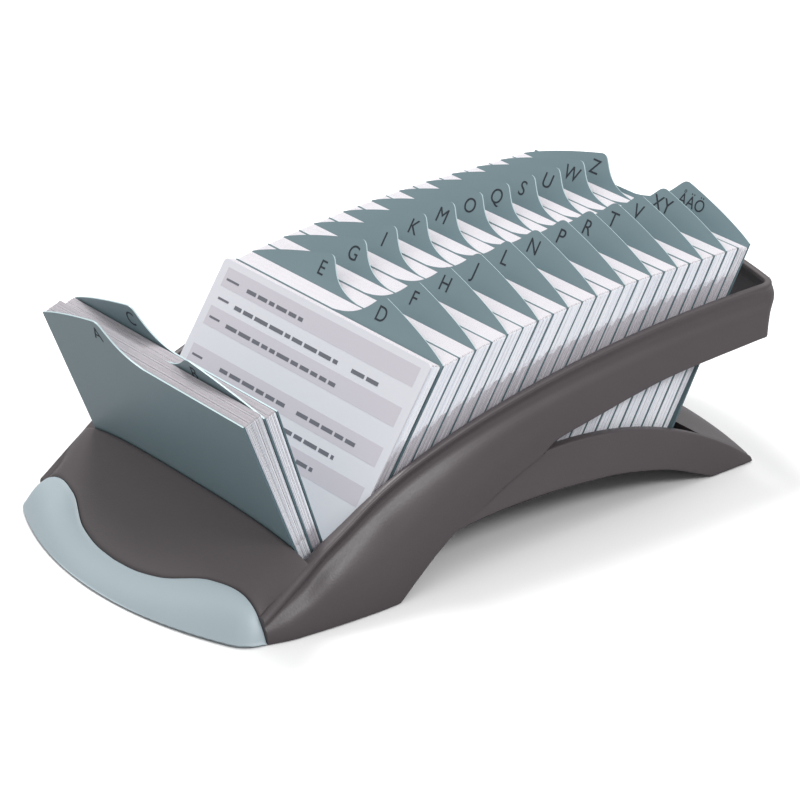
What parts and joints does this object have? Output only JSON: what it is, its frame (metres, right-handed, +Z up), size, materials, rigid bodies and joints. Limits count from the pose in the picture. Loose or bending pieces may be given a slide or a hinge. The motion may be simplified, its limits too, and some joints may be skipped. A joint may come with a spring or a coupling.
{
  "type": "rotary card file",
  "caption": "Desktop address card file: an arched tray with a raised band carries a leaning row of lettered dividers and card packs, open in front at an address card",
  "frame": {"origin": "on the table plane, in the middle of the bounding box's footprint", "axes": "+Y runs from the nose back to the rear wall, +Z is up, +X runs across the cards to the right of a reader who sits at the nose"},
  "size_m": [0.1296, 0.2312, 0.0821],
  "materials": {
    "tray": "fine textured, matte",
    "pad": "satin",
    "foot_rubber": "matte",
    "divider": "satin",
    "cards": "matte",
    "address_card": "matte"
  },
  "bodies": {
    "base": {"tray_shell": "tray", "front_pad": "pad", "card_rails": "tray", "rubber_feet": "foot_rubber"},
    "section_a": {"cards_a": "cards"},
    "section_b": {"divider_b": "divider", "cards_b": "cards"},
    "section_c": {"divider_c": "divider"},
    "divider_a_sheet": {"divider_a": "divider"},
    "pack_c": {"cards_c": "cards"},
    "address_sheet": {"address_card": "address_card"},
    "section_d": {"divider_d": "divider", "cards_d": "cards"},
    "section_e": {"divider_e": "divider", "cards_e": "cards"},
    "section_f": {"divider_f": "divider", "cards_f": "cards"},
    "section_g": {"divider_g": "divider", "cards_g": "cards"},
    "section_h": {"divider_h": "divider", "cards_h": "cards"},
    "section_i": {"divider_i": "divider", "cards_i": "cards"},
    "section_j": {"divider_j": "divider", "cards_j": "cards"},
    "section_k": {"divider_k": "divider", "cards_k": "cards"},
    "section_l": {"divider_l": "divider", "cards_l": "cards"},
    "section_m": {"divider_m": "divider", "cards_m": "cards"},
    "section_n": {"divider_n": "divider", "cards_n": "cards"},
    "section_o": {"divider_o": "divider", "cards_o": "cards"},
    "section_p": {"divider_p": "divider", "cards_p": "cards"},
    "section_q": {"divider_q": "divider", "cards_q": "cards"},
    "section_r": {"divider_r": "divider", "cards_r": "cards"},
    "section_s": {"divider_s": "divider", "cards_s": "cards"},
    "section_t": {"divider_t": "divider", "cards_t": "cards"},
    "section_u": {"divider_u": "divider", "cards_u": "cards"},
    "section_v": {"divider_v": "divider", "cards_v": "cards"},
    "section_w": {"divider_w": "divider", "cards_w": "cards"},
    "section_xy": {"divider_xy": "divider", "cards_xy": "cards"},
    "section_z": {"cards_z": "cards"},
    "section_nordic": {"divider_nordic": "divider"},
    "divider_z_sheet": {"divider_z": "divider"}
  },
  "joints": [
    {"name": "front_browse", "type": "hinge", "parent": "base", "child": "section_a", "pos_m": [0, -0.07347, 0.0115], "axis": [-1, 0, 0], "range_deg": [0, 45]},
    {"name": "browse_b", "type": "hinge", "parent": "base", "child": "section_b", "pos_m": [0, -0.06865, 0.0115], "axis": [-1, 0, 0], "range_deg": [0, 45]},
    {"name": "browse_c", "type": "hinge", "parent": "base", "child": "section_c", "pos_m": [0, -0.06458, 0.0115], "axis": [-1, 0, 0], "range_deg": [0, 45]},
    {"name": "browse_pack_c", "type": "hinge", "parent": "base", "child": "pack_c", "pos_m": [0, -0.06259, 0.0114], "axis": [-1, 0, 0], "range_deg": [-47, 0]},
    {"name": "deck_browse", "type": "hinge", "parent": "base", "child": "section_d", "pos_m": [0, -0.0581, 0.00981], "axis": [-1, 0, 0], "range_deg": [-47, 0]},
    {"name": "browse_e", "type": "hinge", "parent": "base", "child": "section_e", "pos_m": [0, -0.05172, 0.0107], "axis": [-1, 0, 0], "range_deg": [-47, 0]},
    {"name": "browse_f", "type": "hinge", "parent": "base", "child": "section_f", "pos_m": [0, -0.0454, 0.01151], "axis": [-1, 0, 0], "range_deg": [-47, 0]},
    {"name": "browse_g", "type": "hinge", "parent": "base", "child": "section_g", "pos_m": [0, -0.03915, 0.01226], "axis": [-1, 0, 0], "range_deg": [-47, 0]},
    {"name": "browse_h", "type": "hinge", "parent": "base", "child": "section_h", "pos_m": [0, -0.03296, 0.01295], "axis": [-1, 0, 0], "range_deg": [-47, 0]},
    {"name": "browse_i", "type": "hinge", "parent": "base", "child": "section_i", "pos_m": [0, -0.02683, 0.01356], "axis": [-1, 0, 0], "range_deg": [-47, 0]},
    {"name": "browse_j", "type": "hinge", "parent": "base", "child": "section_j", "pos_m": [0, -0.02077, 0.01411], "axis": [-1, 0, 0], "range_deg": [-47, 0]},
    {"name": "browse_k", "type": "hinge", "parent": "base", "child": "section_k", "pos_m": [0, -0.01477, 0.01459], "axis": [-1, 0, 0], "range_deg": [-47, 0]},
    {"name": "browse_l", "type": "hinge", "parent": "base", "child": "section_l", "pos_m": [0, -0.00884, 0.01501], "axis": [-1, 0, 0], "range_deg": [-47, 0]},
    {"name": "browse_m", "type": "hinge", "parent": "base", "child": "section_m", "pos_m": [0, -0.00296, 0.01536], "axis": [-1, 0, 0], "range_deg": [-47, 0]},
    {"name": "browse_n", "type": "hinge", "parent": "base", "child": "section_n", "pos_m": [0, 0.00284, 0.01563], "axis": [-1, 0, 0], "range_deg": [-47, 0]},
    {"name": "browse_o", "type": "hinge", "parent": "base", "child": "section_o", "pos_m": [0, 0.00859, 0.01585], "axis": [-1, 0, 0], "range_deg": [-47, 0]},
    {"name": "browse_p", "type": "hinge", "parent": "base", "child": "section_p", "pos_m": [0, 0.01427, 0.01599], "axis": [-1, 0, 0], "range_deg": [-47, 0]},
    {"name": "browse_q", "type": "hinge", "parent": "base", "child": "section_q", "pos_m": [0, 0.01989, 0.01607], "axis": [-1, 0, 0], "range_deg": [-47, 0]},
    {"name": "browse_r", "type": "hinge", "parent": "base", "child": "section_r", "pos_m": [0, 0.02545, 0.01608], "axis": [-1, 0, 0], "range_deg": [-47, 0]},
    {"name": "browse_s", "type": "hinge", "parent": "base", "child": "section_s", "pos_m": [0, 0.03094, 0.01603], "axis": [-1, 0, 0], "range_deg": [-47, 0]},
    {"name": "browse_t", "type": "hinge", "parent": "base", "child": "section_t", "pos_m": [0, 0.03637, 0.01594], "axis": [-1, 0, 0], "range_deg": [-47, 0]},
    {"name": "browse_u", "type": "hinge", "parent": "base", "child": "section_u", "pos_m": [0, 0.04174, 0.01585], "axis": [-1, 0, 0], "range_deg": [-47, 0]},
    {"name": "browse_v", "type": "hinge", "parent": "base", "child": "section_v", "pos_m": [0, 0.04704, 0.01576], "axis": [-1, 0, 0], "range_deg": [-47, 0]},
    {"name": "browse_w", "type": "hinge", "parent": "base", "child": "section_w", "pos_m": [0, 0.05228, 0.01567], "axis": [-1, 0, 0], "range_deg": [-47, 0]},
    {"name": "browse_xy", "type": "hinge", "parent": "base", "child": "section_xy", "pos_m": [0, 0.05745, 0.01559], "axis": [-1, 0, 0], "range_deg": [-47, 0]},
    {"name": "browse_z", "type": "hinge", "parent": "base", "child": "section_z", "pos_m": [0, 0.06256, 0.0155], "axis": [-1, 0, 0], "range_deg": [-47, 0]},
    {"name": "browse_nordic", "type": "hinge", "parent": "base", "child": "section_nordic", "pos_m": [0, 0.06761, 0.01541], "axis": [-1, 0, 0], "range_deg": [-47, 0]},
    {"name": "divider_a_lift", "type": "slide", "parent": "section_a", "child": "divider_a_sheet", "axis": [0, -0.3665, 0.9304], "range_m": [0, 0.07]},
    {"name": "address_card_lift", "type": "slide", "parent": "pack_c", "child": "address_sheet", "axis": [0, 0.5388, 0.8425], "range_m": [0, 0.07]},
    {"name": "divider_z_lift", "type": "slide", "parent": "section_z", "child": "divider_z_sheet", "axis": [0, 0.4855, 0.8742], "range_m": [0, 0.07]}
  ],
  "couplings": [
    {"joint": "browse_b", "follows": "front_browse", "ratio": 1},
    {"joint": "browse_c", "follows": "front_browse", "ratio": 1},
    {"joint": "browse_pack_c", "follows": "deck_browse", "ratio": 1},
    {"joint": "browse_e", "follows": "deck_browse", "ratio": 1},
    {"joint": "browse_f", "follows": "deck_browse", "ratio": 1},
    {"joint": "browse_g", "follows": "deck_browse", "ratio": 1},
    {"joint": "browse_h", "follows": "deck_browse", "ratio": 1},
    {"joint": "browse_i", "follows": "deck_browse", "ratio": 1},
    {"joint": "browse_j", "follows": "deck_browse", "ratio": 1},
    {"joint": "browse_k", "follows": "deck_browse", "ratio": 1},
    {"joint": "browse_l", "follows": "deck_browse", "ratio": 1},
    {"joint": "browse_m", "follows": "deck_browse", "ratio": 1},
    {"joint": "browse_n", "follows": "deck_browse", "ratio": 1},
    {"joint": "browse_o", "follows": "deck_browse", "ratio": 1},
    {"joint": "browse_p", "follows": "deck_browse", "ratio": 1},
    {"joint": "browse_q", "follows": "deck_browse", "ratio": 1},
    {"joint": "browse_r", "follows": "deck_browse", "ratio": 1},
    {"joint": "browse_s", "follows": "deck_browse", "ratio": 1},
    {"joint": "browse_t", "follows": "deck_browse", "ratio": 1},
    {"joint": "browse_u", "follows": "deck_browse", "ratio": 1},
    {"joint": "browse_v", "follows": "deck_browse", "ratio": 1},
    {"joint": "browse_w", "follows": "deck_browse", "ratio": 1},
    {"joint": "browse_xy", "follows": "deck_browse", "ratio": 1},
    {"joint": "browse_z", "follows": "deck_browse", "ratio": 1},
    {"joint": "browse_nordic", "follows": "deck_browse", "ratio": 1}
  ]
}
